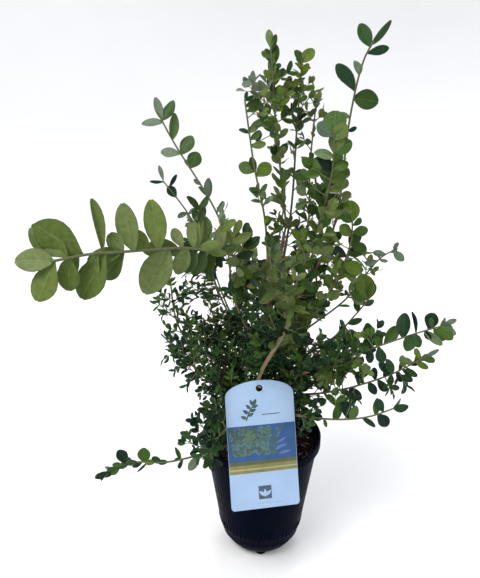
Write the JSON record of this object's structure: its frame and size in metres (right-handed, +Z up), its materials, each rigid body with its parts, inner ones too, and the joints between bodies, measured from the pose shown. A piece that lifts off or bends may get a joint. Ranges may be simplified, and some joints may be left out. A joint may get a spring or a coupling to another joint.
{
  "type": "young potted boxwood shrub",
  "caption": "Loose, open young boxwood with small rounded leaves and one long arching shoot, in a small round black nursery pot with a white hang tag.",
  "frame": {"origin": "middle of the flat underside of the pot, on the surface that it stands on", "axes": "+Z up along the pot's axis, -Y to the front where the hang tag leans on the rim, +X to the plant's right as seen from the front"},
  "size_m": [0.3043, 0.3566, 0.4857],
  "materials": {
    "pot_plastic": "satin",
    "compost": "matte",
    "bark": "matte",
    "tag_plastic": "satin",
    "foliage_fresh": "satin",
    "foliage_green": "satin",
    "foliage_dark": "satin"
  },
  "bodies": {
    "root": {"pot": "pot_plastic", "potting_soil": "compost", "trunk": "bark", "hang_tag": "tag_plastic", "tag_spur": "bark", "back_high_bough": "bark", "back_high_foliage": "foliage_dark", "back_left_bough": "bark", "back_left_foliage": "foliage_dark", "back_low_left_bough": "bark", "back_low_left_foliage": "foliage_dark", "back_low_right_bough": "bark", "back_low_right_foliage": "foliage_dark", "back_middle_bough": "bark", "back_middle_foliage": "foliage_dark", "back_right_bough": "bark", "back_right_foliage": "foliage_dark", "column_back_bough": "bark", "column_back_foliage": "foliage_green", "column_front_bough": "bark", "column_front_foliage": "foliage_green", "column_right_bough": "bark", "column_right_foliage": "foliage_green", "inner_front_foliage": "foliage_dark", "inner_left_foliage": "foliage_dark", "inner_low_left_foliage": "foliage_dark", "inner_low_right_foliage": "foliage_dark", "inner_right_foliage": "foliage_dark", "leader_foliage": "foliage_green", "left_back_bough": "bark", "left_back_foliage": "foliage_green", "left_fine_bough": "bark", "left_fine_foliage": "foliage_dark", "left_front_bough": "bark", "left_front_foliage": "foliage_dark", "left_low_bough": "bark", "left_low_foliage": "foliage_dark", "left_spray_bough": "bark", "left_spray_foliage": "foliage_dark", "left_tall_bough": "bark", "left_tall_foliage": "foliage_green", "near_arch_bough_lower": "bark", "near_arch_bough_upper": "bark", "near_arch_foliage": "foliage_fresh", "right_back_bough": "bark", "right_back_foliage": "foliage_dark", "right_long_bough": "bark", "right_long_foliage": "foliage_dark", "right_low_bough": "bark", "right_low_foliage": "foliage_dark", "right_lower_bough": "bark", "right_lower_foliage": "foliage_dark", "right_mid_bough": "bark", "right_mid_foliage": "foliage_dark", "tall_right_bough": "bark", "tall_right_foliage": "foliage_green", "top_left_bough": "bark", "top_left_foliage": "foliage_green", "top_right_bough": "bark", "top_right_foliage": "foliage_green"}
  },
  "joints": []
}
